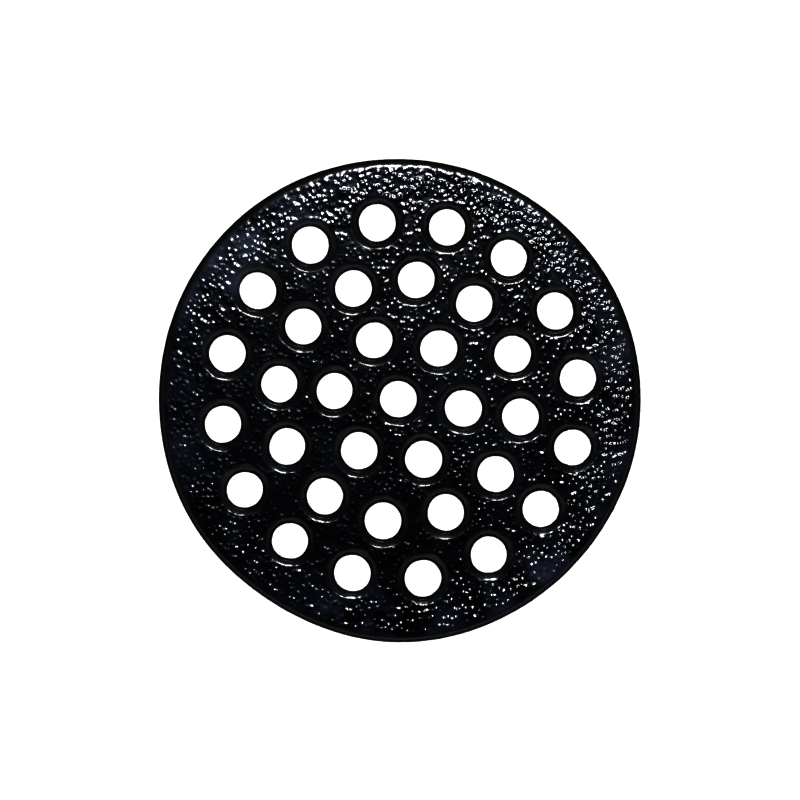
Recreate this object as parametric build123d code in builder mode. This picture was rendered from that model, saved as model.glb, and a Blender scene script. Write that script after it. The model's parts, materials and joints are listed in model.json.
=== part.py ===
"""Round cast-iron floor drain grate, in millimetres.

The whole object is one coated casting: a thick flat disc with a soft shoulder round its top
edge, and drain holes in rings round a centre hole. Each hole is a straight throat that
opens upwards into a wide rounded lip.

The origin is at the centre of the underside, +Z points up out of the walked-on face, and
+X runs through one hole of every ring.
"""

import os

from build123d import *

# Plate
outer_diameter = 171.45  # 6 3/4 inches, a stock size of loose drain covers
thickness = 6.35  # 1/4 inch
shoulder_radius = 3.4  # round-over of the rim's top edge
underside_break = 0.4  # small break where the rim meets the underside

# Drain holes
throat_diameter = 12.9
lip_radius = 3.5  # round-over from the throat out to the top face
throat_break = 0.3  # small break where a throat meets the underside
hole_rings = ((23.0, 6), (43.2, 12), (63.6, 16))  # pitch radius and count, out from the centre

with BuildPart() as grate:
    with BuildSketch():
        Circle(outer_diameter / 2)
        Circle(throat_diameter / 2, mode=Mode.SUBTRACT)
        for pitch_radius, count in hole_rings:
            with PolarLocations(pitch_radius, count):
                Circle(throat_diameter / 2, mode=Mode.SUBTRACT)
    extrude(amount=thickness)

    # Underside: the rim is the largest of the circles there, and the throats are the rest.
    underside_edges = grate.edges().group_by(Axis.Z)[0].sort_by(SortBy.RADIUS)
    chamfer(underside_edges[:-1], throat_break)
    chamfer(grate.edges().group_by(Axis.Z)[0].sort_by(SortBy.RADIUS)[-1], underside_break)

    # Top face: every throat gets its lip, and the rim its shoulder.
    top_edges = grate.edges().group_by(Axis.Z)[-1].sort_by(SortBy.RADIUS)
    fillet(top_edges[:-1], lip_radius)
    fillet(grate.edges().group_by(Axis.Z)[-1].sort_by(SortBy.RADIUS)[-1], shoulder_radius)

grate.part.label = "grate"
os.makedirs("parts", exist_ok=True)
export_step(grate.part, "parts/grate.step")
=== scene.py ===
"""Looks of the floor drain grate: one glossy black sand casting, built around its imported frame.

The CAD disc is smooth and true. The casting that stands for it here has the same rim and
throats, with lips that are a little shallower, and it adds what the foundry leaves: a slightly
wandering outline, sand grain in relief on the flats, and a thick coat that fills the grain's
hollows and runs smooth over the lips and the shoulder of the rim.
Lengths are in millimetres until the mesh is made, and in metres from then on.
"""

import itertools
import json
import math

import bpy
import numpy as np
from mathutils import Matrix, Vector
from mathutils.geometry import delaunay_2d_cdt

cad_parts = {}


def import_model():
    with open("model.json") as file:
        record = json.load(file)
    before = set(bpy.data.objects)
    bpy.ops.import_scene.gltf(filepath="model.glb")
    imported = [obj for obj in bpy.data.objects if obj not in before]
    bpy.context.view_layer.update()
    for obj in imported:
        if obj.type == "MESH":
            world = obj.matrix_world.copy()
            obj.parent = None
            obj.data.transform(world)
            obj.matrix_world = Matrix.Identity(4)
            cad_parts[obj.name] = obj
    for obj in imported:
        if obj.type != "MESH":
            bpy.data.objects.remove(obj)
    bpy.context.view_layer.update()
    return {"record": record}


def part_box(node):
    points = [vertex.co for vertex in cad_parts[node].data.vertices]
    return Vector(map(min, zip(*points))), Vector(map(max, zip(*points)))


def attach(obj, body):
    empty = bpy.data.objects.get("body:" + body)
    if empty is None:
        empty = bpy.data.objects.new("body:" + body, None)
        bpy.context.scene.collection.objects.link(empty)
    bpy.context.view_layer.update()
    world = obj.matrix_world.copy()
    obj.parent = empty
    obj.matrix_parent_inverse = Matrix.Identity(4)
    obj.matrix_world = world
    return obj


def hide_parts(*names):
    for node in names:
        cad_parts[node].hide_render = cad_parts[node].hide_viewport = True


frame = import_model()

MM = 0.001
FULL_TURN = 2 * math.pi


# ---------------------------------------------------------------- sizes, all read from the frame

record = frame["record"]
mounts = {mount["name"]: mount for mount in record["mounts"]}
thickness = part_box("grate")[1].z / MM


def wall(name):
    """Radius, lowest and highest point of a round wall that a mount states, in millimetres."""
    mount = mounts[name]
    middle = mount["pos_m"][2] / MM
    half = mount["dims"]["length_mm"] / 2
    return mount["dims"]["r_mm"], middle - half, middle + half


rim_radius, rim_low, rim_high = wall("rim")
throat_radius, throat_low = wall("lift_hole")[:2]
shoulder = thickness - rim_high


def hole_centres():
    """Centre of every drain hole: those that are bore mounts, then those stated as openings."""
    bores = [mount["pos_m"][:2] for mount in record["mounts"] if mount["kind"] == "bore"]
    boxes = [np.mean(opening["box_m"], axis=0)[:2] for opening in record["physics"]["openings"]]
    return np.array(bores + boxes) / MM


centres = hole_centres()


# ---------------------------------------------------------------- the bare shape

GRAIN_PITCH = 0.465  # spacing of the mesh on the top's flats
UNDERSIDE_PITCH = 2.4  # and on the underside
BORDER_GAP = 0.62  # how far either keeps off the rings round it, as a share of its spacing
HOLE_STEPS = 80  # points round a hole
LIP_STEPS = 8  # rows down a lip
LIP_SAMPLES = 400  # points at which a lip's slope is worked out, to space its rows evenly
RIM_STEPS = 900  # points round the rim
SHOULDER_STEPS = 6  # rows over the rim's shoulder
WALL_ROWS = 1  # rows down a straight wall

LIP_WIDTH = 3.15  # how far a lip reaches out from its throat's wall
LIP_START = throat_radius + LIP_WIDTH
LIP_RING = LIP_START - 0.1  # the lips' rings stop here, short of the next hole's
MOUTH_ROUNDING = 1.0  # a lip turns down from the flat with this radius
MOUTH_TURN = math.radians(24)  # and from this slope on
THROAT_ROUNDING = 6.0  # goes on with this one


class Skin:
    """Points and faces of a closed surface, gathered row by row."""

    def __init__(self):
        self.rows, self.faces, self.count = [], [], 0

    def add(self, points):
        """Adds points and returns their indexes."""
        self.rows.append(points)
        self.count += len(points)
        return np.arange(self.count - len(points), self.count)

    def ring(self, centre, radius, height, steps):
        """Adds a level ring of points that runs anticlockwise."""
        angles = FULL_TURN * np.arange(steps) / steps
        x = centre[0] + radius * np.cos(angles)
        y = centre[1] + radius * np.sin(angles)
        return self.add(np.column_stack([x, y, np.full(steps, height)]))

    def strip(self, outer, inner):
        """Quads between two rings, facing up when outer lies outside."""
        self.faces += zip(outer, np.roll(outer, -1), np.roll(inner, -1), inner)

    def rings(self, centre, profile, steps):
        """Rings along a profile of (radius, height) pairs, joined one to the next."""
        made = [self.ring(centre, radius, height, steps) for radius, height in profile]
        for outer, inner in zip(made, made[1:]):
            self.strip(outer, inner)
        return made

    def sheet(self, border, hole_borders, pitch, height, faces_up):
        """Fills the flat between the rim's border and the holes' borders with an even mesh."""
        points = np.concatenate(self.rows)
        reach = np.hypot(*points[border[0], :2])
        lattice = hexagonal(reach, pitch)
        gap = BORDER_GAP * pitch
        keep = np.hypot(*lattice.T) < reach - gap
        hole_reach = np.hypot(*(points[hole_borders[0][0], :2] - centres[0]))
        for centre in centres:
            keep &= np.hypot(*(lattice - centre).T) > hole_reach + gap
        lattice = lattice[keep]
        heights = np.full(len(lattice), height)
        if faces_up:
            heights -= sum(lip_drop(np.hypot(*(lattice - centre).T)) for centre in centres)
        inner = self.add(np.column_stack([lattice, heights]))

        # Each point has an owner: its loop, or for the lattice's points a number of its own. A
        # triangle with all three points on one loop only fills a hole, and is left out.
        loops = [border, *hole_borders]
        used = np.concatenate([*loops, inner])
        owner = np.concatenate([np.full(len(loop), i) for i, loop in enumerate(loops)])
        owner = np.concatenate([owner, -1 - np.arange(len(inner))])
        flat = np.concatenate(self.rows)[used, :2]
        found = delaunay_2d_cdt([Vector(p) for p in flat], [], [], 0, 1e-7)
        assert len(found[0]) == len(used)
        source = np.array([origins[0] for origins in found[3]])
        triangles = source[np.array(found[2])]
        fills_hole = np.ptp(owner[triangles], axis=1) == 0
        triangles = used[triangles[~fills_hole]]
        self.faces += triangles.tolist() if faces_up else triangles[:, ::-1].tolist()


def hexagonal(reach, pitch):
    """An even lattice of points that covers a square of half-width reach."""
    across = np.arange(-reach, reach, pitch)
    down = np.arange(-reach, reach, pitch * math.sqrt(3) / 2)
    x, y = np.meshgrid(across, down)
    x[1::2] += pitch / 2
    return np.column_stack([x.ravel(), y.ravel()])


def lip_slope(distance):
    """Slope angle of a lip at a distance from its hole's centre."""
    join = LIP_START - MOUTH_ROUNDING * math.sin(MOUTH_TURN)
    mouth = np.clip(LIP_START - distance, 0, LIP_START - join) / MOUTH_ROUNDING
    throat = np.clip(join - distance, 0, join - throat_radius) / THROAT_ROUNDING
    return np.arcsin(mouth + throat)


def lip_drop(distance):
    """How far the top lies below its flats at a distance from a hole's centre."""
    slope = lip_slope(distance)
    mouth = MOUTH_ROUNDING * (1 - np.cos(np.minimum(slope, MOUTH_TURN)))
    throat = THROAT_ROUNDING * (math.cos(MOUTH_TURN) - np.cos(np.maximum(slope, MOUTH_TURN)))
    return mouth + throat


def hole_profile():
    """From the outermost ring on the lip down to the break on the underside."""
    fine = np.linspace(LIP_RING, throat_radius, LIP_SAMPLES)
    slopes = lip_slope(fine)
    radii = np.interp(np.linspace(slopes[0], slopes[-1], LIP_STEPS + 1), slopes, fine)
    lip_rows = list(zip(radii, thickness - lip_drop(radii)))
    lowest = lip_rows[-1][1]
    heights = np.linspace(lowest, throat_low, WALL_ROWS + 1)[1:]
    walls = [(throat_radius, height) for height in heights]
    return lip_rows + walls + [(throat_radius + throat_low, 0.0)]


def rim_profile():
    """From the underside's break up the wall and over the shoulder to the top face."""
    turn = np.linspace(0, math.pi / 2, SHOULDER_STEPS + 1)
    heights = np.linspace(rim_low, rim_high, WALL_ROWS + 1)[:-1]
    walls = [(rim_radius, height) for height in heights]
    over = list(zip(rim_radius - shoulder * (1 - np.cos(turn)), rim_high + shoulder * np.sin(turn)))
    return [(rim_radius - rim_low, 0.0)] + walls + over


def bare_shape():
    """Points and faces of the disc with its holes, before any relief."""
    skin = Skin()
    rim = skin.rings((0, 0), rim_profile(), RIM_STEPS)
    holes = [skin.rings(centre, hole_profile(), HOLE_STEPS) for centre in centres]
    skin.sheet(rim[-1], [hole[0] for hole in holes], GRAIN_PITCH, thickness, True)
    skin.sheet(rim[0], [hole[-1] for hole in holes], UNDERSIDE_PITCH, 0.0, False)
    return np.concatenate(skin.rows), skin.faces


# ---------------------------------------------------------------- relief and coat

WANDER = 0.3  # how far the outline and the holes wander from true
WANDER_LENGTH = 95.0
WANDER_SEEDS = (3085, 5482)  # across X and along Y

GRAIN_SPACING = 1.6
GRAIN_SEED = 11
GRAIN_HEIGHT = 1.3  # what a dome drops one spacing away from its top
DOME_SOFTNESS = 0.2  # share of the spacing over which neighbouring domes run together
DOME_TILE = 64  # cells after which the domes' random places repeat
GRAIN_ON_LIPS = 0.33  # share of the grain's height that shows through the coat on the lips
GRAIN_ON_RIM = 0.12  # and on the rim's shoulder
COARSE_SIDE = 0.4  # the grain is this share taller at one side's rim, and lower at the other's
COARSE_TURN = math.radians(-52)  # where the tall side is

POOL_LEVEL = -0.36  # how high the coat stands in the grain near the rim, in shares of its height
INNER_POOL_LEVEL = -0.205  # and inside the outer ring of holes
POOL_FADE = (58.0, 76.0)  # the level changes between these distances from the grate's centre
POOL_SOFTNESS = 0.03

SWELL_HEIGHT = 0.05  # of the coat's own gentle unevenness on the flats
LIP_SWELL = 0.11  # and on the lips' upper halves
RIM_SWELL_SHARE = 0.3  # share of it that is left on the rim's shoulder
SWELL_LENGTH = 8.0
SWELL_SEED = 12
WAVE_SPREAD = (0.75, 1.35)  # shortest and longest of the waves in a field, in wavelengths

LIP_FADE = (LIP_START - 1.0, LIP_START + 0.7)  # a lip's smooth coat ends between these radii
LIP_MIDDLE = 8.4  # a lip's upper half starts about here, out from the hole's centre
RIM_FADE = (2.0, 3.8)  # the shoulder's smooth coat ends between these depths in from the rim

SHEEN_LENGTH = 62.0  # of the unevenness with which the painted sheen lies along the rim
SHEEN_SEED = 20
SHEEN_SPAN = (-1.0, 1.4)  # of that unevenness, from the least bloom to the most
LEAST_SHEEN = 0.3
INNER_SHEEN = 0.12  # share of the painted sheen that is left in the middle
SHEEN_FADE = (62.0, 80.0)  # it grows between these distances from the grate's centre
SHEEN_EDGE = (1.2, 2.6)  # and ends between these depths in from the rim

UNDERSIDE_BAND = 1e-6  # points lower than this are on the underside


def ramp(values, low, high):
    """0 up to low, 1 from high on, and a smooth step in between."""
    share = np.clip((values - low) / (high - low), 0, 1)
    return share * share * (3 - 2 * share)


def waves(points, wavelength, seed, count=140):
    """A smooth random field with that wavelength and a spread of 1, made of plane waves."""
    rng = np.random.default_rng(seed)
    directions = rng.normal(size=(count, points.shape[1]))
    directions /= np.linalg.norm(directions, axis=1)[:, None]
    lengths = wavelength * rng.uniform(*WAVE_SPREAD, count)
    shifts = rng.uniform(0, FULL_TURN, count)
    field = np.zeros(len(points))
    for direction, length, shift in zip(directions, lengths, shifts):
        field += np.cos(points @ direction * (FULL_TURN / length) + shift)
    return field * math.sqrt(2 / count)


def pebbles(points, spacing, seed):
    """Height of a pebbled skin: round domes, one for each cell of a loose 3-D lattice, run together.

    Close to a dome's top the height falls off as distance squared over spacing squared.
    """
    places = np.random.default_rng(seed).random((DOME_TILE, DOME_TILE, DOME_TILE, 3))
    cells = np.floor(points / spacing).astype(int)
    total = np.zeros(len(points))
    for step in itertools.product((-1, 0, 1), repeat=3):
        cell = cells + step
        sites = (cell + places[tuple((cell % DOME_TILE).T)]) * spacing
        total += np.exp(-np.sum((points - sites)**2, axis=1) / (2 * (DOME_SOFTNESS * spacing)**2))
    return np.log(total) * 2 * DOME_SOFTNESS**2


def pooled(height, level):
    """Height of the skin once the coat has filled its hollows up to a level."""
    return level + POOL_SOFTNESS * np.logaddexp(0, (height - level) / POOL_SOFTNESS)


def centre_distance(points):
    """How far each point is from the grate's axis."""
    return np.hypot(points[:, 0], points[:, 1])


def hole_distance(points):
    """How far each point is from the axis of the nearest hole."""
    return np.min([np.hypot(*(points[:, :2] - centre).T) for centre in centres], axis=0)


def on_lips(points):
    """1 on the lips, 0 off them."""
    return 1 - ramp(hole_distance(points), *LIP_FADE)


def off_shoulder(points):
    """0 on the rim's shoulder, 1 inside it."""
    return ramp(rim_radius - centre_distance(points), *RIM_FADE)


def grain(points):
    """Relief of the sand grain, with the coat pooled in its hollows."""
    tall_side = (math.cos(COARSE_TURN), math.sin(COARSE_TURN))
    coarser = 1 + COARSE_SIDE * (points[:, :2] @ tall_side) / rim_radius
    share = 1 - (1 - GRAIN_ON_LIPS) * on_lips(points)
    share *= GRAIN_ON_RIM + (1 - GRAIN_ON_RIM) * off_shoulder(points)
    outward = ramp(centre_distance(points), *POOL_FADE)
    level = INNER_POOL_LEVEL + (POOL_LEVEL - INNER_POOL_LEVEL) * outward
    height = pooled(pebbles(points, GRAIN_SPACING, GRAIN_SEED), level)
    return GRAIN_HEIGHT * share * coarser * (height - height.mean())


def swell(points):
    """Relief of the coat's own unevenness."""
    upper_lips = on_lips(points) * ramp(hole_distance(points), throat_radius, LIP_MIDDLE)
    height = SWELL_HEIGHT + (LIP_SWELL - SWELL_HEIGHT) * upper_lips
    height *= RIM_SWELL_SHARE + (1 - RIM_SWELL_SHARE) * off_shoulder(points)
    return height * waves(points, SWELL_LENGTH, SWELL_SEED)


def painted_sheen_share(points):
    """How much painted sheen lies at each point: a bluish haze painted in for fine glints of the key
    light, in patches, mostly near the rim.
    """
    uneven = ramp(waves(points[:, :2], SHEEN_LENGTH, SHEEN_SEED), *SHEEN_SPAN)
    outward = ramp(centre_distance(points), *SHEEN_FADE)
    share = LEAST_SHEEN + (1 - LEAST_SHEEN) * uneven
    share *= INNER_SHEEN + (1 - INNER_SHEEN) * outward
    return share * ramp(rim_radius - centre_distance(points), *SHEEN_EDGE)


def casting():
    """The grate as cast and coated."""
    points, faces = bare_shape()
    mesh = bpy.data.meshes.new("casting")
    mesh.from_pydata(points * MM, [], faces)
    mesh.polygons.foreach_set("use_smooth", np.ones(len(mesh.polygons), bool))
    mesh.update()
    normals = np.empty(len(points) * 3, np.float32)
    mesh.vertex_normals.foreach_get("vector", normals)
    normals = normals.reshape(-1, 3).astype(float)

    relief = grain(points) + swell(points)
    moved = points + normals * relief[:, None]
    for axis, seed in enumerate(WANDER_SEEDS):
        moved[:, axis] += WANDER * waves(points[:, :2], WANDER_LENGTH, seed)
    # On the underside the relief only goes inwards, so that the seat's plane stays the lowest.
    moved[:, 2] = np.where(points[:, 2] < UNDERSIDE_BAND, np.abs(relief), moved[:, 2])
    mesh.vertices.foreach_set("co", (moved * MM).ravel().astype(np.float32))

    smooth_coat = 1 - (1 - on_lips(points)) * off_shoulder(points)
    # The second attribute says where the painted sheen goes, a bluish haze standing in for fine glints.
    for name, values in {"smooth_coat": smooth_coat, "painted_sheen": painted_sheen_share(points)}.items():
        mesh.attributes.new(name, "FLOAT", "POINT").data.foreach_set("value", values.astype(np.float32))
    mesh.update()
    piece = bpy.data.objects.new("grate_casting", mesh)
    bpy.context.scene.collection.objects.link(piece)
    return piece


# ---------------------------------------------------------------- material

GRAIN_BLACK = (0.0004, 0.0006, 0.0014, 1)  # under the coat on the flats; near black, with a blue tint painted in for reflected bluish light
SMOOTH_BLACK = (0.0032, 0.0032, 0.0025, 1)  # and on the lips and the shoulder
# painted sheen: a pale bluish haze in the base colour that stands in for fine glints of the key light
SHEEN_BLUE = (0.027, 0.032, 0.050, 1)
COAT = {
    "IOR": 1.45,
    "Specular IOR Level": 0.03,
    "Specular Tint": (0.55, 0.72, 1.0, 1),
    "Coat Weight": 1.0,
    "Coat Roughness": 0.185,
    "Coat IOR": 1.5,
}
SHEEN_SCALE = 70  # waves of the painted sheen's noise in a metre
SHEEN_CONTRAST = (0.38, 0.75)  # of that noise, from no painted sheen to all of it
PATCH_SCALE = 120  # of the patches that differ in roughness
PATCH_ROUGHNESS = (0.30, 0.50)
SAND_SCALE = 1300  # of the finest sand texture
SAND_HEIGHT = 0.00004
SAND_STRENGTH = (1.0, 0.25)  # on the flats, and where the coat is smooth


def noise(tree, place, scale, detail):
    """A noise texture laid out by a vector output."""
    texture = tree.nodes.new("ShaderNodeTexNoise")
    texture.inputs["Scale"].default_value = scale
    texture.inputs["Detail"].default_value = detail
    tree.links.new(place, texture.inputs["Vector"])
    return texture.outputs["Fac"]


def remapped(tree, value, source, target):
    """A value's source span taken to the target span."""
    node = tree.nodes.new("ShaderNodeMapRange")
    node.inputs["From Min"].default_value, node.inputs["From Max"].default_value = source
    node.inputs["To Min"].default_value, node.inputs["To Max"].default_value = target
    tree.links.new(value, node.inputs["Value"])
    return node.outputs["Result"]


def mixed_colour(tree, factor):
    """A colour mix driven by a factor."""
    mix = tree.nodes.new("ShaderNodeMix")
    mix.data_type = "RGBA"
    tree.links.new(factor, mix.inputs["Factor"])
    return mix


def attribute(tree, name):
    """The values of one of the casting's point attributes."""
    node = tree.nodes.new("ShaderNodeAttribute")
    node.attribute_name = name
    return node.outputs["Fac"]


def product(tree, first, second):
    """The product of two values."""
    node = tree.nodes.new("ShaderNodeMath")
    node.operation = "MULTIPLY"
    tree.links.new(first, node.inputs[0])
    tree.links.new(second, node.inputs[1])
    return node.outputs["Value"]


def coated_iron():
    """Glossy black coat over sand-cast iron."""
    material = bpy.data.materials.new("coated_iron")
    material.use_nodes = True
    tree = material.node_tree
    shader = tree.nodes["Principled BSDF"]
    for socket, value in COAT.items():
        shader.inputs[socket].default_value = value
    place = tree.nodes.new("ShaderNodeTexCoord").outputs["Object"]
    smooth = attribute(tree, "smooth_coat")

    tint = mixed_colour(tree, smooth)
    tint.inputs["A"].default_value = GRAIN_BLACK
    tint.inputs["B"].default_value = SMOOTH_BLACK
    patchy = remapped(tree, noise(tree, place, SHEEN_SCALE, 3), SHEEN_CONTRAST, (0, 1))
    # Painted sheen: a bluish haze mixed into the base colour, standing in for fine glints near the rim.
    with_painted_sheen = mixed_colour(tree, product(tree, patchy, attribute(tree, "painted_sheen")))
    tree.links.new(tint.outputs["Result"], with_painted_sheen.inputs["A"])
    with_painted_sheen.inputs["B"].default_value = SHEEN_BLUE
    tree.links.new(with_painted_sheen.outputs["Result"], shader.inputs["Base Color"])

    rough = remapped(tree, noise(tree, place, PATCH_SCALE, 4), (0, 1), PATCH_ROUGHNESS)
    tree.links.new(rough, shader.inputs["Roughness"])

    bump = tree.nodes.new("ShaderNodeBump")
    bump.inputs["Distance"].default_value = SAND_HEIGHT
    tree.links.new(remapped(tree, smooth, (0, 1), SAND_STRENGTH), bump.inputs["Strength"])
    tree.links.new(noise(tree, place, SAND_SCALE, 1), bump.inputs["Height"])
    tree.links.new(bump.outputs["Normal"], shader.inputs["Normal"])
    tree.links.new(bump.outputs["Normal"], shader.inputs["Coat Normal"])
    return material


# ---------------------------------------------------------------- studio

VIEW_TURN = math.radians(-52.4)  # the studio's right hand, as an angle from the grate's +X
BACKDROP_HALF = 12.0
FLOOR_DROP = 0.0003  # how far the floor lies below the grate
FLOOR_WHITE = (1.0, 1.0, 0.995, 1)

NEAR_GLOW = 0.75  # of the walls at the picture's bottom
FAR_GLOW = 0.07  # and at its top
CEILING_GLOW = 0.012
WALL_TOP = 0.72  # the walls' glow has faded into the ceiling's at this height, on a unit sphere
WALL_FOOT = (-0.1, 0.2)  # and below this span it is down to a share of itself
FOOT_SHARE = 0.1

KEY_PLACE = (0.025, 0.263, 0.39)
KEY_SIZE = 0.145
KEY_POWER = 3.1
KEY_COLOUR = (0.95, 0.97, 1.0)

PICTURE_SHARE = 0.604  # how much of the picture's width the grate fills
EYE_ASIDE = 0.0002  # how far right of the grate's centre the camera stands
LENS = 400.0  # long, and so far off that the holes show no parallax
SENSOR = 36.0


def studio(x, y, z):
    """A place in the studio, with x to the camera's right, y up its picture and z off the floor."""
    across, up = math.cos(VIEW_TURN), math.sin(VIEW_TURN)
    return Vector((x * across - y * up, x * up + y * across, z))


def floor():
    """A pale sweep that glows evenly, as under product photographs that show no shadow."""
    half = BACKDROP_HALF
    corners = [(-half, -half, 0), (half, -half, 0), (half, half, 0), (-half, half, 0)]
    mesh = bpy.data.meshes.new("floor")
    mesh.from_pydata(corners, [], [(0, 1, 2, 3)])
    sweep = bpy.data.objects.new("floor", mesh)
    sweep.location.z = -FLOOR_DROP
    bpy.context.scene.collection.objects.link(sweep)

    # Seen from below, the sweep is clear, so that the underside can be looked at.
    material = bpy.data.materials.new("pale_floor")
    material.use_nodes = True
    nodes, links = material.node_tree.nodes, material.node_tree.links
    nodes.clear()
    glow = nodes.new("ShaderNodeEmission")
    glow.inputs["Color"].default_value = FLOOR_WHITE
    clear = nodes.new("ShaderNodeBsdfTransparent")
    side = nodes.new("ShaderNodeNewGeometry")
    pick = nodes.new("ShaderNodeMixShader")
    end = nodes.new("ShaderNodeOutputMaterial")
    links.new(side.outputs["Backfacing"], pick.inputs[0])
    links.new(glow.outputs[0], pick.inputs[1])
    links.new(clear.outputs[0], pick.inputs[2])
    links.new(pick.outputs[0], end.inputs["Surface"])
    mesh.materials.append(material)
    sweep.visible_glossy = False


def world():
    """Walls that are paler low down than overhead, and palest at the picture's bottom."""
    sky = bpy.data.worlds.new("studio")
    bpy.context.scene.world = sky
    sky.use_nodes = True
    tree = sky.node_tree
    place = tree.nodes.new("ShaderNodeTexCoord").outputs["Generated"]
    parts = tree.nodes.new("ShaderNodeSeparateXYZ")
    tree.links.new(place, parts.inputs[0])
    height = parts.outputs["Z"]
    nearness = tree.nodes.new("ShaderNodeVectorMath")
    nearness.operation = "DOT_PRODUCT"
    nearness.inputs[1].default_value = studio(0, -1, 0)
    tree.links.new(place, nearness.inputs[0])

    walls = remapped(tree, nearness.outputs["Value"], (-0.5, 1), (FAR_GLOW, NEAR_GLOW))
    glow = remapped(tree, height, (0, WALL_TOP), (0, CEILING_GLOW))
    tree.links.new(walls, glow.node.inputs["To Min"])
    below = remapped(tree, height, WALL_FOOT, (FOOT_SHARE, 1))
    background = tree.nodes["Background"]
    background.inputs["Color"].default_value = (1, 1, 1, 1)
    tree.links.new(product(tree, glow, below), background.inputs["Strength"])


def key_light():
    """A soft round lamp high over the picture's top."""
    data = bpy.data.lights.new("key", "AREA")
    data.shape = "DISK"
    data.size = KEY_SIZE
    data.energy = KEY_POWER
    data.color = KEY_COLOUR
    lamp = bpy.data.objects.new("key", data)
    lamp.location = studio(*KEY_PLACE)
    lamp.rotation_euler = (-studio(*KEY_PLACE)).to_track_quat("-Z", "Y").to_euler()
    bpy.context.scene.collection.objects.link(lamp)


def camera():
    """Straight above, with the grate's top face at the distance that fills the picture's share."""
    width = 2 * rim_radius * MM / PICTURE_SHARE
    data = bpy.data.cameras.new("camera")
    data.lens = LENS
    data.sensor_width = SENSOR
    data.clip_end = 100
    eye = bpy.data.objects.new("camera", data)
    eye.location = studio(EYE_ASIDE, 0.0, width * LENS / SENSOR + thickness * MM)
    eye.rotation_euler = (0, 0, VIEW_TURN)
    bpy.context.scene.collection.objects.link(eye)
    bpy.context.scene.camera = eye


grate = casting()
grate.data.materials.append(coated_iron())
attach(grate, "root")
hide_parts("grate")

floor()
world()
key_light()
camera()
bpy.context.scene.view_settings.view_transform = "Standard"
bpy.context.scene.view_settings.look = "High Contrast"
